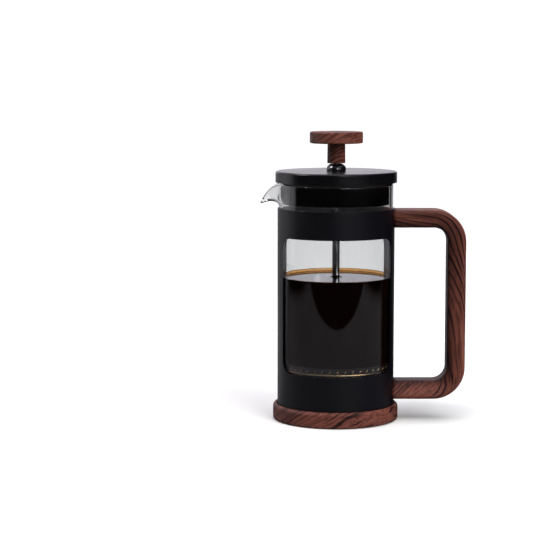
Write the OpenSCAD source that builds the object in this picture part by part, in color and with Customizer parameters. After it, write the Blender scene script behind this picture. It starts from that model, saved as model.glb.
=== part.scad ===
// French press: a glass beaker in a black steel sleeve on a wooden base dish, with a
// wooden C-shaped handle and a filter plunger that runs through the lid.
// Millimetres. The origin is the middle of the underside and +Z is up. The handle points
// along +X and the spout along -X. The plunger is drawn pressed fully down.

/* [Base] */
// Diameter of the wooden base dish
base_d = 78; // [76:0.5:90]
// Height of the base dish's rim above the table
base_top = 10; // [9:0.5:14]
// Height at which the sleeve and its floor stand in the dish
seat_z = 5; // [4.6:0.1:6]
// Thickness of the non-slip foot pad
pad_t = 1.2; // [1:0.1:1.5]
// How far the foot pad stands out under the dish
pad_proud = 0.5; // [0.2:0.1:0.8]

/* [Sleeve] */
// Outside diameter of the steel sleeve
sleeve_d = 72.6; // [70:0.2:74]
// Thickness of the sleeve's sheet
sleeve_t = 0.6; // [0.5:0.1:0.8]
// Height of the sleeve's top edge above the table
sleeve_top = 131.8; // [131.5:0.1:133]
// Lower edge of the two windows
window_low = 31.2; // [30:0.2:50]
// Upper edge of the two windows
window_high = 114.6; // [90:0.2:118]
// Half of the angle that each window spans
window_half = 65.5; // [40:0.5:66]
// Corner radius of the windows
window_r = 8; // [4:0.5:10]

/* [Beaker] */
// Gap between the beaker and the sleeve
beaker_gap = 0.4; // [0.3:0.1:0.5]
// Thickness of the glass
glass_t = 2; // [1.8:0.1:2.2]
// Height of the beaker's rim above the table
rim_z = 147; // [146.5:0.1:147]
// Reach of the spout's tip from the beaker's axis
spout_reach = 46.9; // [44:0.1:48]
// Drop of the spout's tip below the rim
spout_drop = 10.4; // [9:0.1:11]
// Half of the spout's width where it leaves the beaker
spout_half = 11.5; // [9:0.5:12.5]

/* [Handle] */
// Thickness of the handle, from its outer side to its finger side
handle_t = 11.2; // [10:0.1:13]
// Width of the handle's outer side, over its rounded edges
handle_w_out = 22.5; // [18:0.5:26]
// Width of the handle's finger side, over its rounded edges
handle_w_in = 16.5; // [12:0.5:20]
// Distance from the beaker's axis to the middle of the grip
grip_x = 74.35; // [70:0.5:85]
// Height of the middle of the upper arm
arm_high = 125.5; // [124:0.1:125.5]
// Height of the middle of the lower arm
arm_low = 19; // [18:0.5:22]
// Radius of the handle's corners on the finger side
corner_in = 8.4; // [4:0.2:12]

/* [Lid] */
// Diameter of the lid
lid_d = 75.2; // [74:0.2:78]
// Height of the lid's lower edge above the table
lid_low = 147.8; // [147.7:0.1:148]
// Thickness of the lid
lid_t = 6.9; // [6.5:0.1:8]
// Sheet thickness of the lid's cap
cap_t = 0.8; // [0.6:0.1:1]
// Depth of the strainer collar below the lid's lower edge
collar_depth = 13.3; // [13:0.1:15]
// Number of slots in the strainer
slot_count = 13; // [5:1:15]
// Angle from one slot to the next
slot_pitch = 5.4; // [5:0.1:6]

/* [Plunger] */
// Diameter of the steel rod
rod_d = 4.7; // [4:0.1:5]
// Diameter of the knob's disc
knob_d = 32.8; // [26:0.2:38]
// Thickness of the knob's disc
knob_t = 7.1; // [5:0.1:9]
// Diameter of the knob's stem at its foot
stem_d = 11.2; // [10:0.1:13]
// Height of the top of the knob
knob_top = 178.9; // [177:0.1:182]

/* [Filter] */
// Height of the filter screen when the plunger is down
screen_z = 32.3; // [31.5:0.1:40]
// Coil diameter of the spring round the filter's edge
edge_coil_d = 2.9; // [2.4:0.1:3]
// Play between that spring and the glass
edge_play = 0.3; // [0.3:0.05:0.6]

/* [Hidden] */

black_steel = "#1b1b1e";
black_plastic = "#101012";
walnut = "#5c332a";
bright_steel = "#b9bcc0";
brass = "#c2a052";
silicone = "#2a2a2c";
clear_glass = [0.85, 0.9, 0.9, 0.35];

// Sizes shared by the pieces that fit together
round_fn = 96;
small_fn = 48;
eps = 0.01;
run_fit = 0.05;
base_r = base_d / 2;
sleeve_r = sleeve_d / 2;
sleeve_in = sleeve_r - sleeve_t;
beaker_r = sleeve_in - beaker_gap;
beaker_in = beaker_r - glass_t;
pad_r = base_r - 3;
floor_t = 1.2;
floor_top = seat_z + floor_t;
beaker_pad_top = floor_top + 1.2;
beaker_low = beaker_pad_top + 0.2;
beaker_floor = beaker_low + 2.6;

// Screws that hold the base to the sleeve's floor, and the handle to the sleeve
base_screw_r = 1.5;
base_head_r = 3;
base_head_h = 1.6;
base_screw_ring = 24;
base_socket_r = 1.15;
handle_screw_r = 2;
handle_head_r = 3.5;
handle_head_x = sleeve_in - 0.15;
handle_head_h = 1.9;
handle_screw_end = handle_head_x + 16;
handle_socket_r = 1.45;
socket_depth = 1.3;
insert_r = 3.1;
insert_x = sleeve_r + 3.5;
insert_len = 10;

// Handle path: the corners' centres lie on the finger side
grip_in = grip_x - handle_t / 2;
corner_x = grip_in - corner_in;
corner_high = arm_high - handle_t / 2 - corner_in;
corner_low = arm_low + handle_t / 2 + corner_in;
corner_mid = corner_in + handle_t / 2;

// Lid, from the outside in
lid_r = lid_d / 2;
lid_top = lid_low + lid_t;
cap_in = lid_r - cap_t;
web_low = lid_low + 3.4;
collar_r = beaker_in - 0.5;
collar_t = 2;
collar_low = lid_low - collar_depth;
slot_w = 1.45;
slot_low = collar_low + 1.4;
slot_high = lid_low - 3.6;
gasket_in = collar_r + 0.1;
gasket_out = gasket_in + 1.8;
gasket_low = rim_z + 0.1;
gasket_high = lid_low - 0.1;
rod_r = rod_d / 2;
bush_r = 6.15;
bush_h = 4.5;
shank_r = 3.9;
nut_t = 3;
nut_r = 7.2;
shank_low = web_low - nut_t - 0.4;

// Plunger: the knob's stem stops just above the bushing
stem_low = lid_top + bush_h + 0.3;
disc_low = knob_top - knob_t;
knob_r = knob_d / 2;
stem_r = stem_d / 2;
stem_taper = 0.15;
knob_insert_r = 3.3;
rod_high = disc_low;

// Filter stack, from the screen outwards
mesh_t = 0.3;
mesh_r = beaker_in - 1.1;
cross_t = 0.8;
cross_r = 29;
spiral_t = 0.6;
spiral_low = screen_z + mesh_t;
spiral_top = spiral_low + spiral_t;
edge_r = edge_coil_d / 2;
edge_ring_r = beaker_in - edge_play - edge_r;
edge_z = spiral_low + edge_r;
spiral_r = edge_ring_r - edge_r - 0.05;
hub_r = 5.5;
hub_low = screen_z - cross_t - 4.5;
stop_r = 4.5;
stop_low = spiral_top + 0.1;
stop_h = 4;
rod_low = hub_low + 0.3;

// Points of an arc about [cx, cy], from angle a0 to a1
function arc(cx, cy, r, a0, a1, n = 8) =
    [for (i = [0 : n]) [cx + r * cos(a0 + (a1 - a0) * i / n), cy + r * sin(a0 + (a1 - a0) * i / n)]];

// A plain disc, or a ring when it has a hole
module disc(r, low, high, hole = 0) {
    difference() {
        translate([0, 0, low])
            cylinder(r = r, h = high - low, $fn = round_fn);
        if (hole > 0)
            translate([0, 0, low - eps])
                cylinder(r = hole, h = high - low + 2 * eps, $fn = round_fn);
    }
}

module at_base_screws() {
    for (i = [0 : 2])
        rotate([0, 0, 60 + 120 * i])
            translate([base_screw_ring, 0, 0])
                children();
}

// Hexagonal socket for the key in a screw's head, along +Z from the head's face
module hex_socket(r, face)
    translate([0, 0, face - eps])
        cylinder(r = r, h = socket_depth + eps, $fn = 6);

// Outline of one countersunk screw of the base, with its head against the foot pad
module base_screw() {
    translate([0, 0, pad_t])
        cylinder(r1 = base_head_r, r2 = base_screw_r, h = base_head_h, $fn = small_fn);
    translate([0, 0, pad_t])
        cylinder(r = base_screw_r, h = floor_top - pad_t, $fn = small_fn);
}

module foot_pad() {
    color(silicone)
        disc(pad_r, 0, pad_t);
}

// Round dish with a rounded outer edge and a recess for the sleeve
module base() {
    outer_round = 2.2;
    foot_round = 0.8;
    recess_r = sleeve_r + 0.3;
    profile = concat(
        [[0, pad_t], [pad_r, pad_t], [pad_r, pad_proud]],
        arc(base_r - foot_round, pad_proud + foot_round, foot_round, -90, 0, 6),
        arc(base_r - outer_round, base_top - outer_round, outer_round, 0, 80),
        [[recess_r + 0.4, base_top], [recess_r, base_top - 0.4], [recess_r, seat_z], [0, seat_z]]);
    color(walnut)
        difference() {
            rotate_extrude($fn = round_fn)
                polygon(profile);
            at_base_screws()
                base_screw();
        }
}

module base_screws() {
    color(bright_steel)
        difference() {
            at_base_screws()
                base_screw();
            at_base_screws()
                hex_socket(base_socket_r, pad_t);
        }
}

// Steel plate welded into the foot of the sleeve
module frame_floor() {
    color(black_steel)
        difference() {
            disc(sleeve_in, seat_z, floor_top);
            at_base_screws()
                base_screw();
        }
}

// Outline of a window as seen from the front: a rounded rectangle of the flat sheet,
// rolled round the sleeve
function window_outline() = let (
    half = sleeve_r * window_half * PI / 180,
    mid = half - window_r,
    low = window_low + window_r,
    high = window_high - window_r,
    flat = concat(
        arc(mid, high, window_r, 0, 90),
        arc(-mid, high, window_r, 90, 180),
        arc(-mid, low, window_r, 180, 270),
        arc(mid, low, window_r, 270, 360)))
    [for (p = flat) [sleeve_r * sin(p[0] / sleeve_r * 180 / PI), p[1]]];

module window_cut()
    rotate([90, 0, 0])
        linear_extrude(height = sleeve_r + 5)
            polygon(window_outline());

module frame_sleeve() {
    color(black_steel)
        difference() {
            disc(sleeve_r, seat_z, sleeve_top, sleeve_in);
            window_cut();
            rotate([0, 0, 180])
                window_cut();
            at_handle_screws()
                handle_screw();
        }
}

module beaker_pad() {
    color(silicone)
        disc(beaker_in, floor_top, beaker_pad_top);
}

// The handle's outline across its thickness: wide outside, narrow at the fingers, with
// flat slanting sides that run tangent to the rounded edges
module handle_section() {
    edge_out = 2.2;
    edge_in = 3.2;
    out_x = handle_t / 2 - edge_out;
    out_y = handle_w_out / 2 - edge_out;
    in_x = -handle_t / 2 + edge_in;
    in_y = handle_w_in / 2 - edge_in;
    span = norm([out_x - in_x, out_y - in_y]);
    side = atan2(out_y - in_y, out_x - in_x) + acos((edge_in - edge_out) / span);
    right = concat(
        arc(in_x, in_y, edge_in, 180, side, 6),
        arc(out_x, out_y, edge_out, side, 0, 6));
    left = [for (i = [len(right) - 1 : -1 : 0]) [right[i][0], -right[i][1]]];
    polygon(concat(right, left));
}

// A straight stretch of the handle along +X, with the finger side below
module handle_arm(length)
    rotate([90, 0, 90])
        linear_extrude(height = length)
            rotate([0, 0, 90])
                handle_section();

// A quarter turn of the handle, from an arm along +X round to the grip along -Z
module handle_corner()
    rotate([90, 0, 0])
        rotate_extrude(angle = 90, $fn = round_fn)
            translate([corner_mid, 0])
                handle_section();

module at_handle_screws() {
    for (z = [arm_low, arm_high])
        translate([0, 0, z])
            rotate([0, 90, 0])
                children();
}

// Outline of one handle screw, driven from inside the sleeve, along its own axis
module handle_screw() {
    translate([0, 0, handle_head_x])
        cylinder(r1 = handle_head_r, r2 = handle_screw_r, h = handle_head_h, $fn = small_fn);
    translate([0, 0, handle_head_x])
        cylinder(r = handle_screw_r, h = handle_screw_end - handle_head_x, $fn = small_fn);
}

module handle_insert_blank()
    translate([0, 0, insert_x])
        cylinder(r = insert_r, h = insert_len, $fn = small_fn);

module handle() {
    arm_start = sleeve_r - 6;
    color(walnut)
        difference() {
            union() {
                translate([arm_start, 0, arm_high])
                    handle_arm(corner_x - arm_start);
                translate([arm_start, 0, arm_low])
                    mirror([0, 0, 1])
                        handle_arm(corner_x - arm_start);
                translate([corner_x, 0, corner_high])
                    handle_corner();
                translate([corner_x, 0, corner_low])
                    mirror([0, 0, 1])
                        handle_corner();
                translate([grip_x, 0, corner_low])
                    linear_extrude(height = corner_high - corner_low)
                        handle_section();
            }
            cylinder(r = sleeve_r, h = rim_z, $fn = round_fn);
            at_handle_screws() {
                handle_screw();
                handle_insert_blank();
            }
        }
}

module handle_inserts() {
    color(brass)
        difference() {
            at_handle_screws()
                handle_insert_blank();
            at_handle_screws()
                handle_screw();
        }
}

module handle_screws() {
    color(bright_steel)
        difference() {
            at_handle_screws()
                handle_screw();
            at_handle_screws()
                hex_socket(handle_socket_r, handle_head_x);
        }
}

// The spout's shape along its reach: u is 0 at the beaker's wall and 1 at the tip
spout_len = spout_reach - beaker_r;
spout_root_z = rim_z - 14.7;
spout_tip_half = 1.3;
function lip_z(u) = rim_z - spout_drop * pow(max(u, 0), 2);
function trough_z(u) = spout_root_z + 5.3 * (1 - pow(1 - u, 3.5)) - 1.5 * pow(u, 3);
function spout_w(u) = spout_tip_half
    + (spout_half - spout_tip_half) * min(1, pow(max(1 - u, 0), 0.9));

// A beak lofted from half-ellipse sections, set back by inset, from u0 to u1.
// Its open top runs straight up by above.
module spout_beak(inset, u0, u1, above) {
    steps = 12;
    turns = 12;
    ring = turns + 3;
    function section(u) = let (
        x = -beaker_r - u * spout_len,
        half = max(spout_w(u) - inset, 0.2),
        low = trough_z(min(u, 1)) + inset,
        lip = max(lip_z(u), low + 0.05))
        concat(
            [for (j = [0 : turns])
                [x, half * cos(180 * j / turns), lip - (lip - low) * sin(180 * j / turns)]],
            [[x, -half, lip + above], [x, half, lip + above]]);
    points = [for (k = [0 : steps]) each section(u0 + (u1 - u0) * k / steps)];
    sides = [for (k = [0 : steps - 1], j = [0 : ring - 1]) let (
        a = k * ring + j,
        b = k * ring + (j + 1) % ring)
        each [[b, a, a + ring], [b, a + ring, b + ring]]];
    start_cap = [for (j = [0 : ring - 1]) j];
    end_cap = [for (j = [ring - 1 : -1 : 0]) steps * ring + j];
    polyhedron(points = points, faces = concat([start_cap], sides, [end_cap]), convexity = 4);
}

// Glass beaker with a rounded foot, a fire-polished rim and a beak-shaped spout
module beaker() {
    foot_r = 5;
    foot_in = 3.4;
    rim_round = glass_t / 2;
    outer = concat(
        [[0, beaker_low]],
        arc(beaker_r - foot_r, beaker_low + foot_r, foot_r, -90, 0, 10),
        arc(beaker_r - rim_round, rim_z - rim_round, rim_round, 0, 90, 5),
        [[0, rim_z]]);
    inner = concat(
        [[0, beaker_floor]],
        arc(beaker_in - foot_in, beaker_floor + foot_in, foot_in, -90, 0, 8),
        arc(beaker_in + rim_round, rim_z - rim_round, rim_round, 180, 90, 5),
        [[beaker_in + rim_round, rim_z + 3], [0, rim_z + 3]]);
    color(clear_glass)
        difference() {
            union() {
                rotate_extrude($fn = round_fn)
                    polygon(outer);
                spout_beak(0, -0.25, 1, 0.05);
            }
            rotate_extrude($fn = round_fn)
                polygon(inner);
            spout_beak(glass_t - 0.3, -0.5, 1.1, 4);
        }
}

module lid_gasket() {
    color(silicone)
        disc(gasket_out, gasket_low, gasket_high, gasket_in);
}

// Pressed steel cap with a rounded upper edge
module lid_cap() {
    edge = 1.2;
    profile = concat(
        [[shank_r, lid_top - cap_t]],
        arc(cap_in - (edge - cap_t), lid_top - edge, edge - cap_t, 90, 0, 6),
        [[cap_in, lid_low], [lid_r, lid_low]],
        arc(lid_r - edge, lid_top - edge, edge, 0, 90, 8),
        [[shank_r, lid_top]]);
    color(black_steel)
        rotate_extrude($fn = round_fn)
            polygon(profile);
}

// Plastic liner that fills the cap and hangs into the beaker as a slotted strainer
module lid_collar() {
    liner_round = 0.4;
    profile = concat(
        [[shank_r, web_low], [collar_r - collar_t, web_low], [collar_r - collar_t, collar_low]],
        [[collar_r, collar_low], [collar_r, lid_low], [cap_in, lid_low]],
        arc(cap_in - liner_round, lid_top - cap_t - liner_round, liner_round, 0, 90, 4),
        [[shank_r, lid_top - cap_t]]);
    color(black_plastic)
        difference() {
            rotate_extrude($fn = round_fn)
                polygon(profile);
            for (i = [0 : slot_count - 1])
                rotate([0, 0, 180 + (i - (slot_count - 1) / 2) * slot_pitch])
                    translate([collar_r - collar_t - 1, -slot_w / 2, slot_low])
                        cube([collar_t + 2, slot_w, slot_high - slot_low]);
        }
}

// Domed guide that the rod slides through, clamped by its nut under the lid
module rod_bushing() {
    bore = rod_r + run_fit;
    waist = 1;
    dome_r = bush_r - bore - 0.3;
    profile = concat(
        [[bore, shank_low], [shank_r, shank_low], [shank_r, lid_top], [bush_r - 0.4, lid_top]],
        [for (q = [0:9:90])
            [bush_r - dome_r * (1 - cos(q)), lid_top + waist + (bush_h - waist) * sin(q)]],
        [[bore, lid_top + bush_h]]);
    color(black_plastic)
        rotate_extrude($fn = small_fn)
            polygon(profile);
}

module bushing_nut() {
    color(bright_steel)
        difference() {
            translate([0, 0, web_low - nut_t])
                cylinder(r = nut_r, h = nut_t, $fn = 6);
            translate([0, 0, web_low - nut_t - eps])
                cylinder(r = shank_r, h = nut_t + 2 * eps, $fn = small_fn);
        }
}

// Upper plate of the filter, with drain holes
module spiral_plate() {
    hole_count = 16;
    color(bright_steel)
        difference() {
            disc(spiral_r, spiral_low, spiral_top, rod_r + run_fit);
            for (i = [0 : hole_count - 1])
                rotate([0, 0, 360 * i / hole_count])
                    translate([spiral_r - 5, 0, spiral_low - eps])
                        cylinder(r = 1.6, h = spiral_t + 2 * eps, $fn = 24);
        }
}

// The round coil at the filter's edge, as the ring that its turns fill
module edge_spring() {
    color(bright_steel)
        translate([0, 0, edge_z])
            rotate_extrude($fn = round_fn)
                translate([edge_ring_r, 0])
                    circle(r = edge_r, $fn = 24);
}

module filter_mesh() {
    color(bright_steel)
        disc(mesh_r, screen_z, screen_z + mesh_t, rod_r + run_fit);
}

// Lower plate of the filter: a wheel with wide round ports
module cross_plate() {
    port_count = 8;
    color(bright_steel)
        difference() {
            disc(cross_r, screen_z - cross_t, screen_z, rod_r + run_fit);
            for (i = [0 : port_count - 1])
                rotate([0, 0, 360 * i / port_count])
                    translate([18, 0, screen_z - cross_t - eps])
                        cylinder(r = 5, h = cross_t + 2 * eps, $fn = small_fn);
        }
}

// Knurled hub under the cross plate, threaded on the rod's end
module hub_nut() {
    color(bright_steel)
        disc(hub_r, hub_low, screen_z - cross_t, rod_r + run_fit);
}

module plunger_rod() {
    color(bright_steel)
        translate([0, 0, rod_low])
            cylinder(r = rod_r, h = rod_high - rod_low, $fn = small_fn);
}

// Hexagonal stop pressed on the rod above the filter
module rod_stop() {
    color(bright_steel)
        difference() {
            translate([0, 0, stop_low])
                cylinder(r = stop_r, h = stop_h, $fn = 6);
            translate([0, 0, stop_low - eps])
                cylinder(r = rod_r, h = stop_h + 2 * eps, $fn = small_fn);
        }
}

// Turned knob: a flat disc on a slightly tapered stem
module knob() {
    edge = 1;
    profile = concat(
        [[knob_insert_r, stem_low], [stem_r - 0.3, stem_low], [stem_r, stem_low + 0.3]],
        [[stem_r - stem_taper, disc_low]],
        arc(knob_r - edge, disc_low + edge, edge, -90, 0, 6),
        arc(knob_r - edge, knob_top - edge, edge, 0, 90, 6),
        [[0, knob_top], [0, rod_high], [knob_insert_r, rod_high]]);
    color(walnut)
        rotate_extrude($fn = round_fn)
            polygon(profile);
}

module knob_insert() {
    color(brass)
        disc(knob_insert_r, stem_low, rod_high, rod_r);
}

foot_pad();
base();
base_screws();
frame_floor();
frame_sleeve();
beaker_pad();
handle();
handle_inserts();
handle_screws();
beaker();
lid_gasket();
lid_cap();
lid_collar();
rod_bushing();
bushing_nut();
spiral_plate();
edge_spring();
filter_mesh();
cross_plate();
hub_nut();
plunger_rod();
rod_stop();
knob();
knob_insert();
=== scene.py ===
import math

import bmesh
import bpy
import numpy as np
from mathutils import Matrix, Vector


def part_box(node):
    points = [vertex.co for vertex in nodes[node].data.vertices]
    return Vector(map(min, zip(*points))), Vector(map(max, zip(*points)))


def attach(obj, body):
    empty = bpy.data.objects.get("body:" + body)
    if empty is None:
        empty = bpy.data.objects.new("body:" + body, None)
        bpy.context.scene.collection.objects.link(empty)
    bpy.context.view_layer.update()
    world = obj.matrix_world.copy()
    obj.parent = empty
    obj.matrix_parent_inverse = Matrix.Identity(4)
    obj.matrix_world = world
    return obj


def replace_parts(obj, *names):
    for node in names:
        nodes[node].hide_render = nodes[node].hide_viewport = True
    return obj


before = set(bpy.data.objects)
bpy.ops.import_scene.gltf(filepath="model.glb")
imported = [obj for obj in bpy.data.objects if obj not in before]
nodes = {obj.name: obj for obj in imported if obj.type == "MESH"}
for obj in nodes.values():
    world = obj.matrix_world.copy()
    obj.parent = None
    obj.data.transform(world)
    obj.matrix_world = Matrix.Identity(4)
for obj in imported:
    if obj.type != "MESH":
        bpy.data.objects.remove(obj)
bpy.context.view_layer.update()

MM = 0.001
scene = bpy.context.scene


# ---------------------------------------------------------------- camera

# The photograph's viewing angle: the lens, where it stands, and its degrees below level
CAMERA_LENS = 117.54
CAMERA_AT = (-0.04156, -1.0853, 0.2176)
CAMERA_DOWN = 6.515


def make_camera():
    data = bpy.data.cameras.new("camera")
    data.sensor_width = 36
    data.lens = CAMERA_LENS
    data.clip_end = 50
    camera = bpy.data.objects.new("camera", data)
    camera.location = CAMERA_AT
    camera.rotation_euler = (math.radians(90 - CAMERA_DOWN), 0, 0)
    scene.collection.objects.link(camera)
    scene.camera = camera


make_camera()
scene.view_settings.view_transform = "Standard"


# ---------------------------------------------------------------- node helpers

class Tree:
    """Short calls that add shader nodes; an input may be a number, a colour or a socket."""

    def __init__(self, tree):
        self.tree = tree
        tree.nodes.clear()

    def add(self, kind, inputs=None, **settings):
        node = self.tree.nodes.new("ShaderNode" + kind)
        for key, value in settings.items():
            setattr(node, key, value)
        for key, value in (inputs or {}).items():
            if isinstance(value, bpy.types.NodeSocket):
                self.tree.links.new(value, node.inputs[key])
            elif value is not None:
                node.inputs[key].default_value = value
        return node

    def math(self, operation, a, b=None):
        return self.add("Math", {0: a, 1: b}, operation=operation).outputs[0]

    def plus(self, a, b):
        return self.math("ADD", a, b)

    def times(self, a, b):
        return self.math("MULTIPLY", a, b)

    def hypot(self, a, b):
        return self.math("SQRT", self.plus(self.times(a, a), self.times(b, b)))

    def span(self, value, low, high, out_low=0.0, out_high=1.0):
        """value from low to high, as a smooth step from out_low to out_high. Where low is above
        high, the step runs the other way."""
        return self.add("MapRange", {"Value": value, "From Min": low, "From Max": high,
                                     "To Min": out_low, "To Max": out_high},
                        interpolation_type="SMOOTHSTEP").outputs["Result"]

    def mix(self, factor, a, b, blend="MIX"):
        node = self.add("Mix", {0: factor, 6: a, 7: b}, data_type="RGBA", blend_type=blend)
        return node.outputs[2]

    def grey(self, value):
        return self.add("CombineColor", {0: value, 1: value, 2: value}).outputs[0]

    def noise(self, vector, detail, roughness=0.5):
        """Noise with features one unit of vector long."""
        return self.add("TexNoise", {"Vector": vector, "Scale": 1.0, "Detail": detail,
                                     "Roughness": roughness}).outputs["Fac"]

    def stretch(self, vector, x, y, z):
        """vector in metres, as counts of features that are x, y and z millimetres long."""
        return self.add("VectorMath", {0: vector, 1: (1000 / x, 1000 / y, 1000 / z)},
                        operation="MULTIPLY").outputs[0]

    def dot(self, vector, axis):
        return self.add("VectorMath", {0: vector, 1: axis},
                        operation="DOT_PRODUCT").outputs["Value"]

    def split(self, vector):
        return self.add("SeparateXYZ", {0: vector}).outputs

    def bump(self, height, distance, strength):
        return self.add("Bump", {"Height": height, "Distance": distance,
                                 "Strength": strength}).outputs["Normal"]

    def place(self):
        """The piece's own coordinates, in the row frame, in metres."""
        return self.add("TexCoord").outputs["Object"]

    def finish(self, shader):
        self.add("OutputMaterial", {"Surface": shader})


def material(name):
    made = bpy.data.materials.new(name)
    made.use_nodes = True
    return made, Tree(made.node_tree)


def rgb(r, g, b):
    return (r, g, b, 1.0)


def shade(base, share):
    """base, an (r, g, b), made darker or lighter."""
    return rgb(*[v * share for v in base])


# ---------------------------------------------------------------- materials

# The dark colour serves the growth lines and pores, and also the painted shade on the handle's
# inner side
DARK_GRAIN_AND_SHADE = rgb(0.013, 0.0040, 0.0034)
MID_GRAIN = rgb(0.092, 0.0262, 0.0190)
LIGHT_GRAIN = rgb(0.232, 0.076, 0.049)
# Features in wood, in mm along the fibres, through the growth layers and across them
WANDER_MM = (130, 7, 16)
JITTER_MM = (34, 2.4, 5)
BROAD_MM = (100, 4.2, 11)
THREAD_MM = (70, 0.8, 2.2)
FIBRE_MM = (20, 0.42, 0.6)
PORE_MM = (7, 0.5, 0.5)
# Paint gives way to bare steel between these distances outside the bare radius
BARE_EDGE = (0.06 * MM, 0.02 * MM)


def wood(name, grain, pitch, swirl, depth, painted_shade=None):
    """Red-brown wood with fine dark growth lines. grain(tree) gives a vector: along the fibres,
    through the growth layers, and across them. The lines are pitch apart, swirl is how far they
    wander in turns of that pitch, and depth is how dark they are. The last argument names an
    attribute that is 1 where painted shade darkens the wood, on the side turned from the light."""
    made, t = material(name)
    vector = grain(t)
    through = t.split(vector)[1]
    wander = t.noise(t.stretch(vector, *WANDER_MM), detail=1)
    jitter = t.noise(t.stretch(vector, *JITTER_MM), detail=1)
    turns = t.plus(t.math("DIVIDE", through, pitch),
                   t.plus(t.times(wander, swirl * 2.0), t.times(jitter, swirl * 0.5)))
    wave = t.math("SINE", t.times(turns, 2 * math.pi))
    broad = t.noise(t.stretch(vector, *BROAD_MM), detail=1)
    threads = t.noise(t.stretch(vector, *THREAD_MM), detail=1)
    fibre = t.noise(t.stretch(vector, *FIBRE_MM), detail=3, roughness=0.65)
    pores = t.span(t.noise(t.stretch(vector, *PORE_MM), detail=1), 0.62, 0.70)
    # Growth lines are darkest in the darker bands, and thin threads run between them
    dark_band = t.span(broad, 0.60, 0.42)
    line = t.times(t.span(wave, 0.15, 0.92), t.plus(0.30, t.times(dark_band, 0.70)))
    thread = t.times(t.span(threads, 0.45, 0.37), 0.60)
    streak = t.times(t.math("MAXIMUM", line, thread), depth)
    tone = t.plus(t.times(t.span(fibre, 0.25, 0.75), 0.55),
                  t.times(t.span(broad, 0.36, 0.62), 0.45))
    colour = t.mix(tone, MID_GRAIN, LIGHT_GRAIN)
    colour = t.mix(streak, colour, DARK_GRAIN_AND_SHADE)
    colour = t.mix(t.times(pores, 0.55), colour, DARK_GRAIN_AND_SHADE)
    # Painted shade: the handle's inner side, turned from the light, is mixed towards the dark
    # colour
    if painted_shade:
        share = t.add("Attribute", attribute_name=painted_shade).outputs["Fac"]
        colour = t.mix(t.times(share, 0.80), colour, DARK_GRAIN_AND_SHADE)
    dents = t.math("SUBTRACT", fibre, t.plus(pores, t.times(streak, 0.35)))
    shader = t.add("BsdfPrincipled", {
        "Base Color": colour,
        "Roughness": t.span(t.plus(fibre, t.times(pores, 0.3)), 0.2, 0.9, 0.45, 0.65),
        "Specular IOR Level": 0.18,
        "Normal": t.bump(dents, 0.06 * MM, 0.6)})
    t.finish(shader.outputs[0])
    return made


def solid_grain(along, through):
    """Straight fibres through a turned piece: their direction, and the one across the layers."""
    a = np.array(along, float) / np.linalg.norm(along)
    q = np.cross(a, through)
    q /= np.linalg.norm(q)
    p = np.cross(q, a)

    def grain(t):
        place = t.place()
        parts = [t.dot(place, tuple(v)) for v in (a, p, q)]
        return t.add("CombineXYZ", {0: parts[0], 1: parts[1], 2: parts[2]}).outputs[0]

    return grain


def bent_grain(t):
    """Fibres that follow the handle round its bends."""
    return t.add("Attribute", attribute_name="grain").outputs["Vector"]


def powder_coat(name, base, rough, specular, grain_mm=0.34, depth=0.018 * MM, bare_within=None):
    """Painted steel or moulded plastic: faint orange peel, specks and a little handling wear.
    Nearer to the Z axis than bare_within it is bare steel."""
    made, t = material(name)
    place = t.place()
    peel = t.noise(t.stretch(place, grain_mm, grain_mm, grain_mm), detail=2, roughness=0.6)
    cloud = t.noise(t.stretch(place, 26, 26, 26), detail=3)
    colour = t.mix(t.span(peel, 0.3, 0.75), shade(base, 0.7), shade(base, 1.5))
    rubbed = t.plus(t.times(cloud, 0.6), t.times(peel, 0.4))
    roughness = t.span(rubbed, 0.3, 0.7, rough - 0.04, rough + 0.05)
    metallic = 0.0
    if bare_within:
        x, y, _ = t.split(place)
        bare = t.span(t.hypot(x, y), *[bare_within + edge for edge in BARE_EDGE])
        steel = t.mix(cloud, rgb(0.42, 0.42, 0.43), rgb(0.52, 0.52, 0.53))
        colour = t.mix(bare, colour, steel)
        metallic = t.times(bare, 0.35)
        roughness = t.math("SUBTRACT", roughness, t.times(bare, 0.05))
    shader = t.add("BsdfPrincipled", {
        "Base Color": colour, "Metallic": metallic, "Roughness": roughness,
        "Specular IOR Level": specular,
        "Normal": t.bump(peel, depth, 0.5)})
    t.finish(shader.outputs[0])
    return made


def metal(name, base, rough, fine=(6, 0.16, 0.16)):
    """Bare metal with drawn or turned lines, whose size in mm fine gives."""
    made, t = material(name)
    place = t.place()
    lines = t.noise(t.stretch(place, *fine), detail=3, roughness=0.6)
    cloud = t.noise(t.stretch(place, 9, 9, 9), detail=2)
    colour = t.mix(t.span(lines, 0.25, 0.75), shade(base, 0.86), rgb(*base))
    shader = t.add("BsdfPrincipled", {
        "Base Color": colour, "Metallic": 1.0,
        "Roughness": t.span(t.plus(lines, cloud), 0.6, 1.4, rough * 0.7, rough * 1.4),
        "Normal": t.bump(lines, 0.006 * MM, 0.35)})
    t.finish(shader.outputs[0])
    return made


def woven_metal(name, pitch):
    """Woven strainer cloth: wires that cross, pitch apart, with dark gaps between them."""
    made, t = material(name)
    x, y, _ = t.split(t.place())
    waves = [t.math("SINE", t.times(v, 2 * math.pi / pitch)) for v in (x, y)]
    over = t.times(waves[0], waves[1])
    wire = t.math("MAXIMUM", t.math("ABSOLUTE", waves[0]), t.math("ABSOLUTE", waves[1]))
    colour = t.mix(t.span(wire, 0.35, 0.85), rgb(0.03, 0.03, 0.03), rgb(0.62, 0.61, 0.59))
    shader = t.add("BsdfPrincipled", {
        "Base Color": colour, "Metallic": 1.0,
        "Roughness": t.span(wire, 0.2, 1.0, 0.6, 0.28),
        "Normal": t.bump(t.plus(over, wire), 0.08 * MM, 0.6)})
    t.finish(shader.outputs[0])
    return made


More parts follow.
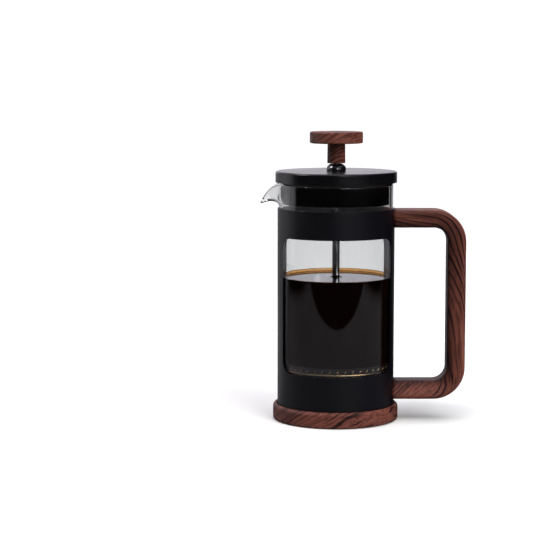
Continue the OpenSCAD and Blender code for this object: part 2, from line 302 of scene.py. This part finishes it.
def clear_glass(name):
    """Blown borosilicate glass with a faint grey tint and slight waves."""
    made, t = material(name)
    place = t.place()
    wave = t.noise(t.stretch(place, 14, 14, 26), detail=1)
    film = t.noise(t.stretch(place, 5, 5, 5), detail=4)
    shader = t.add("BsdfPrincipled", {
        "Base Color": t.mix(film, rgb(0.895, 0.905, 0.905), rgb(0.915, 0.92, 0.92)),
        "Roughness": t.span(film, 0.35, 0.75, 0.0, 0.012),
        "IOR": 1.47, "Transmission Weight": 1.0,
        "Normal": t.bump(wave, 0.12 * MM, 0.25)})
    t.finish(shader.outputs[0])
    return made


def coffee_film(name, tint):
    """Coffee thin enough to let light through."""
    made, t = material(name)
    cloud = t.noise(t.stretch(t.place(), 7, 7, 3), detail=3)
    shader = t.add("BsdfPrincipled", {
        "Base Color": t.mix(cloud, shade(tint, 0.85), shade(tint, 1.12)),
        "Roughness": t.span(cloud, 0.3, 0.7, 0.03, 0.08),
        "IOR": 1.33, "Transmission Weight": 1.0})
    t.finish(shader.outputs[0])
    return made


def deep_coffee(name, specular):
    """Black coffee too deep to see through, with a faint ripple and fine sediment."""
    made, t = material(name)
    place = t.place()
    ripple = t.noise(t.stretch(place, 11, 11, 11), detail=1)
    cloud = t.noise(t.stretch(place, 2.2, 2.2, 2.2), detail=3)
    shader = t.add("BsdfPrincipled", {
        "Base Color": t.mix(cloud, rgb(0.0026, 0.0007, 0.0003), rgb(0.0075, 0.0022, 0.0009)),
        "Roughness": t.span(cloud, 0.3, 0.7, 0.015, 0.04),
        "IOR": 1.33, "Specular IOR Level": specular,
        "Normal": t.bump(ripple, 0.08 * MM, 0.2)})
    t.finish(shader.outputs[0])
    return made


M_BLACK = powder_coat("black_steel", (0.0028, 0.0027, 0.0042), 0.40, 0.25)
M_SLEEVE = powder_coat("sleeve_paint", (0.0024, 0.0022, 0.0038), 0.38, 0.21,
                       bare_within=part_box("frame_sleeve")[1].y - 0.6 * MM)
M_LID = powder_coat("lid_paint", (0.0024, 0.0022, 0.0030), 0.25, 0.29,
                    grain_mm=0.5, depth=0.004 * MM)
M_PLASTIC = powder_coat("black_plastic", (0.003, 0.003, 0.0036), 0.36, 0.07, grain_mm=0.8)
M_GLOSS = powder_coat("gloss_black", (0.004, 0.004, 0.005), 0.085, 1.0,
                      grain_mm=2.5, depth=0.004 * MM)
M_SILICONE = powder_coat("silicone", (0.02, 0.02, 0.021), 0.55, 0.4, grain_mm=0.5)
M_ROD = metal("rod_steel", (0.72, 0.72, 0.73), 0.20, fine=(0.22, 0.22, 9))
M_STEEL = metal("steel", (0.58, 0.57, 0.56), 0.24)
M_STAINED = metal("stained_steel", (0.50, 0.35, 0.18), 0.32)
M_BRASS = metal("brass", (0.62, 0.44, 0.16), 0.25)
M_WEAVE = woven_metal("woven_steel", 0.6 * MM)
M_GLASS = clear_glass("glass")
M_AMBER = coffee_film("coffee_amber", (0.74, 0.38, 0.13))
M_COFFEE = deep_coffee("coffee_surface", 0.5)
M_COFFEE_SIDE = deep_coffee("coffee_side", 0.06)
M_BASE_WOOD = wood("base_wood", solid_grain((0.70, -0.45, 0.50), (-0.5, 0.3, 0.8)),
                   pitch=2.5 * MM, swirl=1.8, depth=1.0)
M_KNOB_WOOD = wood("knob_wood", solid_grain((0.74, -0.34, 0.52), (-0.5, 0.3, 0.8)),
                   pitch=2.2 * MM, swirl=1.7, depth=0.90)
M_HANDLE_WOOD = wood("handle_wood", bent_grain, pitch=1.6 * MM, swirl=1.2, depth=1.0,
                     painted_shade="painted_shade")


# ---------------------------------------------------------------- mesh helpers

TURNED_SIDES = 144


def piece(name, points, faces, finish, body, extra=()):
    """A smooth mesh piece, with its faces turned outwards, riding on a body. extra holds any
    further materials."""
    mesh = bpy.data.meshes.new(name)
    mesh.from_pydata([tuple(p) for p in points], [], faces)
    for m in (finish, *extra):
        mesh.materials.append(m)
    bm = bmesh.new()
    bm.from_mesh(mesh)
    bmesh.ops.recalc_face_normals(bm, faces=bm.faces)
    bm.to_mesh(mesh)
    bm.free()
    mesh.shade_smooth()
    obj = bpy.data.objects.new(name, mesh)
    scene.collection.objects.link(obj)
    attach(obj, body)
    return obj


def ring_faces(rings, count, closed=False):
    """Quads between rings of count points each; closed joins the last ring to the first."""
    faces = []
    for k in range(rings if closed else rings - 1):
        low, high = k * count, (k + 1) % rings * count
        for j in range(count):
            i = (j + 1) % count
            faces.append((low + j, low + i, high + i, high + j))
    return faces


def fan(centre, start, count):
    """Triangles from one middle point to a ring of count points."""
    return [(centre, start + j, start + (j + 1) % count) for j in range(count)]


def arc(cx, cy, r, a0, a1, n):
    """n + 1 points of a circle round (cx, cy), from a0 to a1 degrees."""
    return [(cx + r * math.cos(math.radians(a0 + (a1 - a0) * i / n)),
             cy + r * math.sin(math.radians(a0 + (a1 - a0) * i / n))) for i in range(n + 1)]


def turned(name, profile, finish, body, closed=False, extra=()):
    """A profile of (r, z) turned about the Z axis; an open one is capped at the axis."""
    count = TURNED_SIDES
    angles = np.arange(count) * 2 * math.pi / count
    points = [(r * math.cos(a), r * math.sin(a), z) for r, z in profile for a in angles]
    faces = ring_faces(len(profile), count, closed)
    if not closed:
        for z, ring in ((profile[0][1], 0), (profile[-1][1], len(profile) - 1)):
            points.append((0, 0, z))
            faces += fan(len(points) - 1, ring * count, count)
    return piece(name, points, faces, finish, body, extra)


# ---------------------------------------------------------------- handle

# Thickness, width at the fingers, radius of the bends, and how far off the sleeve it stays
HANDLE_T = 11.2 * MM
HANDLE_INNER_W = 16.5 * MM
HANDLE_BEND = 14 * MM
HANDLE_GAP = 0.04 * MM
# Rounding of the outer edges, and of those at the fingers
OUTER_EDGE, INNER_EDGE = 2.2 * MM, 3.2 * MM
ARM_STEPS, BEND_STEPS, GRIP_STEPS = 12, 16, 32
# How fast the fibres drift across the handle, at shares of its whole length
DRIFT_AT = [0, 0.2, 0.3, 0.42, 0.6, 0.72, 0.80, 1.0]
DRIFT_RATE = [-0.14, -0.1, 0.22, 0.26, 0.10, 0.06, 0.50, 0.62]
# The growth layers lean by this much round the handle's own line
LAYER_LEAN = math.radians(38)


def handle_outline(t, w_out, w_in):
    """Outline across the handle: (a, b) with a from the finger side outwards, b across."""
    e_out, e_in = OUTER_EDGE, INNER_EDGE
    out_a, out_b = t / 2 - e_out, w_out / 2 - e_out
    in_a, in_b = -t / 2 + e_in, w_in / 2 - e_in
    reach = math.hypot(out_a - in_a, out_b - in_b)
    side = math.degrees(math.atan2(out_b - in_b, out_a - in_a)
                        + math.acos((e_in - e_out) / reach))
    inner = arc(in_a, in_b, e_in, 180, side, 7)
    outer = arc(out_a, out_b, e_out, side, 0, 6)
    slant = [(inner[-1][0] + (outer[0][0] - inner[-1][0]) * i / 4,
              inner[-1][1] + (outer[0][1] - inner[-1][1]) * i / 4) for i in (1, 2, 3)]
    back = [(t / 2, out_b * (1 - i / 4)) for i in (1, 2, 3)]
    front = [(-t / 2, in_b * i / 3) for i in (1, 2)]
    half = [(-t / 2, 0)] + front + inner + slant + outer + back + [(t / 2, 0)]
    return half + [(a, -b) for a, b in reversed(half[1:-1])]


def handle_stations(lo, hi, sleeve_r):
    """Places along the handle's line, from its top end to its low one. Each is how far along it
    is, and a function that turns a point (a, b) of the outline into a point in space."""
    bend = HANDLE_BEND
    corner_x = hi.x - HANDLE_T / 2 - bend
    top, low = hi.z - HANDLE_T / 2, lo.z + HANDLE_T / 2
    arm, turn, grip = corner_x - sleeve_r, bend * (math.pi / 2), top - low - 2 * bend

    def on_arm(f, z, out):
        """f is 0 on the sleeve's round face and 1 where the bend begins."""
        return lambda a, b: (math.sqrt(sleeve_r ** 2 - b * b) * (1 - f) + corner_x * f, b,
                             z + out * a)

    def on_bend(degrees, z):
        q = math.radians(degrees)
        return lambda a, b: (corner_x + (bend + a) * math.cos(q), b,
                             z + (bend + a) * math.sin(q))

    def on_grip(down):
        return lambda a, b: (corner_x + bend + a, b, top - bend - down)

    stations = []
    for i in range(ARM_STEPS + 1):
        f = i / ARM_STEPS
        stations.append((f * arm, on_arm(f, top, 1)))
    for i in range(1, BEND_STEPS + 1):
        f = i / BEND_STEPS
        stations.append((arm + turn * f, on_bend(90 - 90 * f, top - bend)))
    for i in range(1, GRIP_STEPS + 1):
        f = i / GRIP_STEPS
        stations.append((arm + turn + grip * f, on_grip(grip * f)))
    for i in range(1, BEND_STEPS + 1):
        f = i / BEND_STEPS
        stations.append((arm + turn + grip + turn * f, on_bend(-90 * f, low + bend)))
    last = stations[-1][0]
    for i in range(1, ARM_STEPS + 1):
        f = 1 - i / ARM_STEPS
        stations.append((last + arm * (1 - f), on_arm(f, low, -1)))
    return stations


def store(obj, name, kind, field, values):
    """Keeps one value for each point of a mesh, for its material to read."""
    data = obj.data.attributes.new(name, kind, "POINT").data
    data.foreach_set(field, np.array(values, np.float32).ravel())


def make_handle():
    lo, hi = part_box("handle")
    outline = handle_outline(HANDLE_T, hi.y - lo.y, HANDLE_INNER_W)
    stations = handle_stations(lo, hi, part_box("frame_sleeve")[1].y + HANDLE_GAP)
    count = len(outline)
    points = [at(a, b) for _, at in stations for a, b in outline]
    faces = ring_faces(len(stations), count)
    for k in (0, len(stations) - 1):
        points.append(stations[k][1](0, 0))
        faces += fan(len(points) - 1, k * count, count)
    obj = piece("handle_shaped", points, faces, M_HANDLE_WOOD, "holder")
    along = np.array([s for s, _ in stations])
    rate = np.interp(along / along[-1], DRIFT_AT, DRIFT_RATE)
    drift = np.concatenate([[0], np.cumsum((rate[1:] + rate[:-1]) / 2 * np.diff(along))])
    fibres = [(s, a - d, b) for s, d in zip(along, drift) for a, b in outline]
    fibres += [(along[0], -drift[0], 0), (along[-1], -drift[-1], 0)]
    cos, sin = math.cos(LAYER_LEAN), math.sin(LAYER_LEAN)
    store(obj, "grain", "FLOAT_VECTOR", "vector",
          [(s, a * cos + b * sin, b * cos - a * sin) for s, a, b in fibres])
    # Painted shade darkens the finger side, which is turned from the light; the two last points are
    # the ends' centres
    shade_share = [min(max(-0.15 - a / (HANDLE_T * 0.42), 0.0), 1.0) for _ in stations for a, _ in outline]
    store(obj, "painted_shade", "FLOAT", "value", shade_share + [0.0, 0.0])
    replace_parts(obj, "handle")


make_handle()


# ---------------------------------------------------------------- beaker

# Thickness of the wall and the floor, and the bend between them outside and inside
GLASS_T, GLASS_FLOOR_T = 2 * MM, 2.6 * MM
OUTER_BEND, INNER_BEND = 5 * MM, 3.4 * MM
# Underneath it stands on a ring of this radius, and is slightly hollow within the smaller one
FOOT_R, HOLLOW_R = 26 * MM, 12 * MM
# The spout: how far below the rim it starts to leave the wall, how far its tip hangs below the
# rim, and how wide it is
SPOUT_ROOT = 14.7 * MM
SPOUT_DROP = 10.4 * MM
SPOUT_HALF_W = 6.2 * MM


def drawn_wall(angles, lift, r_mid, root, rim, reach):
    """Middle of the glass from root up to the rim, drawn out by reach into the spout. Each
    upright line of it is a Bezier curve; share is 1 in the spout's middle and 0 away from it."""
    mid = np.zeros((len(lift), len(angles), 3))
    for j, a in enumerate(angles):
        y = r_mid * math.sin(a)
        share = math.exp(-(abs(y) / SPOUT_HALF_W) ** 1.7) if abs(a) < 1.2 else 0.0
        p0 = np.array([0, root])
        p1 = np.array([0.2 * MM * share, root + 4.9 * MM - 0.6 * MM * share])
        p2 = np.array([0.47 * reach * share, root + 9.1 * MM - 3.0 * MM * share])
        p3 = np.array([reach * share, rim - GLASS_T / 2 - SPOUT_DROP * share * share])
        for k, f in enumerate(lift):
            out, z = (p0 * (1 - f) ** 3 + 3 * p1 * f * (1 - f) ** 2
                      + 3 * p2 * f * f * (1 - f) + p3 * f ** 3)
            mid[k, j] = (-r_mid * math.cos(a) - out, r_mid * math.sin(a), z)
    return mid


def make_beaker():
    """Returns the radius of the bore and the height of the floor inside."""
    lo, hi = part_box("beaker")
    r_out, rim, foot = hi.y, hi.z, lo.z
    root = rim - SPOUT_ROOT
    # Angles round from the spout, closest together where the glass bends most
    half = np.concatenate([np.linspace(0, 0.30, 22), np.linspace(0.33, 0.6, 8),
                           np.linspace(0.66, math.pi, 44)])
    angles = np.concatenate([-half[:0:-1], half[:-1]])
    count = len(angles)
    lift = np.linspace(0, 1, 22)
    mid = drawn_wall(angles, lift, r_out - GLASS_T / 2, root, rim, -lo.x - r_out)
    up = np.gradient(mid, axis=0)
    sideways = np.roll(mid, -1, axis=1) - np.roll(mid, 1, axis=1)
    normal = np.cross(up, sideways)
    normal /= np.linalg.norm(normal, axis=2, keepdims=True)
    radial = np.stack([-np.cos(angles), np.sin(angles), np.zeros(count)], axis=1)
    if (normal[0] * radial).sum() < 0:
        normal = -normal
    up /= np.linalg.norm(up, axis=2, keepdims=True)

    def ring(r, z):
        return [(-r * math.cos(a), r * math.sin(a), z) for a in angles]

    r_in = r_out - GLASS_T
    floor = foot + GLASS_FLOOR_T
    rings = [ring(r, z) for r, z in [(HOLLOW_R, foot + 0.25 * MM), (FOOT_R, foot)]
             + arc(r_out - OUTER_BEND, foot + OUTER_BEND, OUTER_BEND, -90, 0, 9)]
    low_z = foot + OUTER_BEND
    rings += [ring(r_out, low_z + (root - low_z) * k / 10) for k in range(1, 10)]
    rings += [[tuple(p) for p in mid[k] + normal[k] * GLASS_T / 2] for k in range(len(lift))]
    # The rim is half round
    for q in np.radians(np.arange(1, 8) * 22.5):
        rings.append([tuple(p) for p in mid[-1] + GLASS_T / 2
                      * (normal[-1] * math.cos(q) + up[-1] * math.sin(q))])
    rings += [[tuple(p) for p in mid[k] - normal[k] * GLASS_T / 2]
              for k in range(len(lift) - 1, -1, -1)]
    # Down the inside again, and across its floor
    in_low = floor + INNER_BEND
    rings += [ring(r_in, in_low + (root - in_low) * k / 10) for k in range(9, 0, -1)]
    rings += [ring(r, z) for r, z in
              arc(r_in - INNER_BEND, in_low, INNER_BEND, 0, -90, 8)
              + [(HOLLOW_R, floor + 0.15 * MM)]]
    points = [p for one in rings for p in one]
    faces = ring_faces(len(rings), count)
    for z, k in ((foot + 0.3 * MM, 0), (floor + 0.2 * MM, len(rings) - 1)):
        points.append((0, 0, z))
        faces += fan(len(points) - 1, k * count, count)
    obj = piece("beaker_blown", points, faces, M_GLASS, "glass_beaker")
    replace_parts(obj, "beaker")
    return r_in, floor


BORE_R, BEAKER_FLOOR = make_beaker()


# ---------------------------------------------------------------- coffee

# The coffee's height above the beaker's foot, and how far it climbs up the rod
COFFEE_UP = 81.35 * MM
ROD_HUMP = 0.95 * MM


def make_coffee():
    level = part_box("beaker")[0].z + COFFEE_UP
    rod_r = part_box("plunger_rod")[1].y
    # It stands clear of the glass as far up as the filter, and meets it above
    thin_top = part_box("edge_spring")[1].z + 1.2 * MM
    wet = BORE_R + 0.05 * MM
    slim = BORE_R - 0.55 * MM
    low = BEAKER_FLOOR + 0.1 * MM
    profile = arc(slim - INNER_BEND, low + INNER_BEND, INNER_BEND, -90, 0, 6)
    profile += [(slim, thin_top - 1.6 * MM), (slim + 0.12 * MM, thin_top - 0.9 * MM),
                (wet - 0.12 * MM, thin_top - 0.3 * MM), (wet, thin_top),
                (wet, (thin_top + level) / 2), (wet, level - 0.2 * MM), (wet, level + 0.1 * MM)]
    profile += [(BORE_R - 0.4 * MM, level + 0.02 * MM), (BORE_R - 2 * MM, level)]
    profile += [(r * MM, level) for r in (26, 20, 14, 9, 6.5)]
    profile += [(rod_r + d * MM, level + ROD_HUMP * math.exp(-d / 0.75)) for d in
                (2.6, 1.8, 1.2, 0.8, 0.5, 0.25, 0.0)]
    obj = turned("coffee", profile, M_COFFEE_SIDE, "glass_beaker", extra=[M_COFFEE])
    for face in obj.data.polygons:
        if face.center.z > level - 0.05 * MM:
            face.material_index = 1
    # The meniscus climbs the glass and is thin enough to glow
    rise = [(BORE_R + d * MM, level + h * MM) for d, h in
            [(0.03, -0.1), (0.03, 1.6), (-0.05, 1.6), (-0.13, 1.3), (-0.17, 0.8), (-0.22, 0.4),
             (-0.34, 0.16), (-0.6, 0.04), (-0.9, 0.02), (-0.9, -0.1)]]
    ring = turned("coffee_meniscus", rise, M_AMBER, "glass_beaker", closed=True)
    # It has wetted the glass further up on the side away from the lens
    for v in ring.data.vertices:
        if v.co.z > level:
            share = min(max(0.5 + v.co.y / BORE_R, 0.0), 1.0)
            v.co.z = level + (v.co.z - level) * (0.30 + 0.80 * share)


make_coffee()


# ---------------------------------------------------------------- filter edge

def make_spring():
    """The wire coil that runs round the filter and presses on the glass."""
    lo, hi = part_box("edge_spring")
    wire, turns, steps, sides = 0.26 * MM, 44, 16, 6
    coil = (hi.z - lo.z) / 2 - wire
    ring_r, z = hi.y - (hi.z - lo.z) / 2, (hi.z + lo.z) / 2
    count = turns * steps
    rings = []
    for i in range(count):
        q, w = 2 * math.pi * i / count, 2 * math.pi * i / steps
        radial = np.array([math.cos(q), math.sin(q), 0])
        along = np.array([-math.sin(q), math.cos(q), 0])
        out = radial * math.cos(w) + np.array([0, 0, math.sin(w)])
        centre = radial * ring_r + np.array([0, 0, z]) + out * coil
        run = along * (ring_r + coil * math.cos(w)) + coil * turns * (
            -radial * math.sin(w) + np.array([0, 0, math.cos(w)]))
        run /= np.linalg.norm(run)
        side = np.cross(run, out)
        rings += [tuple(centre + wire * (out * math.cos(s) + side * math.sin(s)))
                  for s in 2 * math.pi * np.arange(sides) / sides]
    faces = ring_faces(count, sides, closed=True)
    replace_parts(piece("edge_coil", rings, faces, M_STAINED, "filter"), "edge_spring")


def make_screen():
    """Strainer cloth with its rim folded over."""
    lo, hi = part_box("filter_mesh")
    rod_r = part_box("plunger_rod")[1].y + 0.06 * MM
    edge = BORE_R - 1.05 * MM
    fold = 0.68 * MM
    rim = arc(edge, lo.z - 0.35 * MM, fold, 140, -200, 14)
    low, high = lo.z + 0.02 * MM, hi.z - 0.02 * MM
    flat = edge - 1.4 * MM
    profile = [(rod_r, low), (rod_r, high), (flat, high)] + rim + [(flat, low)]
    obj = turned("screen_cloth", profile, M_WEAVE, "filter", closed=True,
                 extra=[M_STAINED])
    for face in obj.data.polygons:
        if math.hypot(face.center.x, face.center.y) > edge - 1.0 * MM:
            face.material_index = 1
    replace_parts(obj, "filter_mesh")


make_spring()
make_screen()


# ---------------------------------------------------------------- CAD pieces that stay

FINISHES = {
    "foot_pad": M_SILICONE, "base": M_BASE_WOOD, "base_screws": M_STEEL,
    "frame_floor": M_BLACK, "frame_sleeve": M_SLEEVE, "beaker_pad": M_SILICONE,
    "handle_inserts": M_BRASS, "handle_screws": M_STEEL, "lid_gasket": M_SILICONE,
    "lid_cap": M_LID, "lid_collar": M_PLASTIC, "rod_bushing": M_GLOSS,
    "bushing_nut": M_STEEL, "spiral_plate": M_STEEL, "cross_plate": M_STEEL,
    "hub_nut": M_STEEL, "plunger_rod": M_ROD, "rod_stop": M_STEEL, "knob": M_KNOB_WOOD,
    "knob_insert": M_BRASS,
}
for name, finish in FINISHES.items():
    for each in nodes[name].material_slots:
        each.material = finish


# ---------------------------------------------------------------- floor and light

# The table ends here on the lens's side, and a plane that isn't mirrored in the object, and
# throws no light on it, carries it on
TABLE_EDGE = -0.44
TABLE_HALF_W, TABLE_FAR = 5, 9
# A soft pool of shade under the handle: its middle and its reach
POOL_AT = (0.060, 0.025)
POOL_REACH = (0.056, 0.055)


def stage_mesh(name, points, faces, finish):
    mesh = bpy.data.meshes.new(name)
    mesh.from_pydata(points, [], faces)
    mesh.materials.append(finish)
    obj = bpy.data.objects.new(name, mesh)
    scene.collection.objects.link(obj)
    return obj


def stage_plane(name, y0, y1, finish):
    x = TABLE_HALF_W
    return stage_mesh(name, [(-x, y0, 0), (x, y0, 0), (x, y1, 0), (-x, y1, 0)], [(0, 1, 2, 3)],
                      finish)


def direct_view(t):
    """1 for what the lens sees, straight or through glass, and 0 for what is mirrored or
    scattered."""
    path = t.add("LightPath").outputs
    turned_back = t.plus(path["Glossy Depth"], path["Diffuse Depth"])
    return t.math("LESS_THAN", turned_back, 0.5)


def degrees_round(t, x, y):
    """Degrees round the Z axis from the -Y side, positive towards +X."""
    return t.times(t.math("ARCTAN2", x, t.times(y, -1.0)), 180 / math.pi)


def band(t, turn, start, full, still, end):
    """A strip of degrees round: it starts and ends softly, and is full in between."""
    return t.times(t.span(turn, start, full), t.span(turn, end, still))


def make_floor():
    made, t = material("studio_floor")
    place = t.place()
    path = t.add("LightPath").outputs
    mottle = t.noise(t.stretch(place, 3, 3, 3), detail=2)
    x, y, _ = t.split(place)
    away = t.hypot(*[t.math("DIVIDE", t.math("SUBTRACT", v, at), reach)
                     for v, at, reach in zip((x, y), POOL_AT, POOL_REACH)])
    pool = t.mix(mottle, rgb(0.66, 0.675, 0.655), rgb(0.69, 0.705, 0.685))
    pale = t.mix(mottle, rgb(0.98, 1.00, 0.95), rgb(1.02, 1.04, 0.99))
    pale = t.mix(t.span(away, 0.2, 1.0), pool, pale)
    # Through glass it is a little darker
    pale = t.mix(path["Is Camera Ray"], rgb(0.77, 0.79, 0.745), pale)
    # Mirrored in the object the table is dim, and darkest beside it and behind at the right
    turn = degrees_round(t, x, y)
    before = t.times(band(t, turn, -118, -100, 98, 112),
                     t.span(t.math("ABSOLUTE", x), 0.72, 0.55))
    before = t.times(before, t.math("GREATER_THAN", y, TABLE_EDGE))
    behind = t.plus(t.span(turn, -104, -126), t.span(turn, 146, 158))
    flagged = t.grey(t.plus(t.times(before, 0.22), t.times(behind, 0.36)))
    flagged = t.mix(path["Is Diffuse Ray"], flagged, rgb(0.42, 0.42, 0.42))
    t.finish(t.add("BsdfDiffuse", {"Color": t.mix(direct_view(t), flagged, pale)}).outputs[0])
    stage_plane("floor", TABLE_EDGE, TABLE_FAR, made)
    apron = stage_plane("floor_front", -TABLE_FAR, TABLE_EDGE, made)
    apron.visible_glossy = False
    apron.visible_diffuse = False


def make_world():
    """What the object mirrors: a bright cove behind and at the sides, a dark room on the lens's
    side, a soft box at the right and light above. Seen directly it is plain white."""
    world = bpy.data.worlds.new("studio")
    scene.world = world
    world.use_nodes = True
    t = Tree(world.node_tree)
    x, y, z = t.split(t.add("TexCoord").outputs["Generated"])
    turn = degrees_round(t, x, y)
    room = t.times(band(t, turn, -120, -102, 150, 164),
                   t.math("SUBTRACT", 1.0, t.span(z, 0.55, 0.85)))
    light = t.span(room, 0.0, 1.0, 1.05, 0.012)
    right_box = t.times(band(t, turn, 4, 24, 40, 62),
                        t.times(t.span(z, -0.06, 0.04), t.span(z, 0.8, 0.5)))
    light = t.plus(light, t.times(right_box, 0.85))
    light = t.plus(light, t.times(t.span(z, 0.7, 0.9), 0.9))
    tinted = t.mix(1.0, t.grey(light), rgb(0.99, 0.95, 1.035), "MULTIPLY")
    through = t.mix(t.add("LightPath").outputs["Is Camera Ray"], rgb(0.98, 0.98, 0.98),
                    rgb(1.06, 1.06, 1.06))
    seen = t.mix(direct_view(t), tinted, through)
    shader = t.add("Background", {"Color": seen, "Strength": 1.0})
    t.add("OutputWorld", {"Surface": shader.outputs[0]})


CARD_PANELS = 8


def make_card(name, start, end, far, low, high, level):
    """An upright light from start to end degrees round, far away, that shows only in glossy
    surfaces. level(tree, turn, z) gives its strength."""
    made, t = material(name + "_light")
    x, y, z = t.split(t.place())
    t.finish(t.add("Emission", {"Color": rgb(1.0, 0.98, 1.03),
                                "Strength": level(t, degrees_round(t, x, y), z)}).outputs[0])
    count = CARD_PANELS
    turns = [math.radians(start + (end - start) * i / count) for i in range(count + 1)]
    feet = [(far * math.sin(q), -far * math.cos(q)) for q in turns]
    card = stage_mesh(name, [(x, y, z) for z in (low, high) for x, y in feet],
                      [(i, i + 1, i + count + 2, i + count + 1) for i in range(count)], made)
    card.visible_camera = False
    card.visible_diffuse = False
    card.visible_transmission = False
    card.visible_shadow = False


def left_level(t, turn, z):
    level = t.times(t.span(turn, -87, -95), t.span(turn, -142, -108, 0.30, 1.15))
    return t.times(level, t.span(z, 0.70, 0.50))


def key_level(t, turn, z):
    return t.times(band(t, turn, -100, -90, -72, -62), t.span(z, 0.50, 0.60, 0.0, 12.0))


def strip_level(t, turn, z):
    return t.times(band(t, turn, 4, 8, 22, 26), t.span(z, 0.22, 0.34, 0.0, 4.5))


# Where the fill light stands, and its turn in degrees
FILL_AT = (1.0, -1.25, 1.0)
FILL_TURN = (60, 0, 38.7)


def make_fill():
    """A wide soft light in front and above that gives colour but no highlight."""
    data = bpy.data.lights.new("fill", "AREA")
    data.shape = "DISK"
    data.size = 1.6
    data.energy = 26
    lamp = bpy.data.objects.new("fill", data)
    lamp.location = FILL_AT
    lamp.rotation_euler = [math.radians(v) for v in FILL_TURN]
    lamp.visible_glossy = False
    scene.collection.objects.link(lamp)


make_floor()
make_world()
make_card("left_card", -86, -142, 0.9, 0.002, 0.70, left_level)
make_card("key_card", -100, -62, 0.9, 0.50, 1.25, key_level)
make_card("strip_card", 4, 26, 1.2, 0.22, 1.0, strip_level)
make_fill()
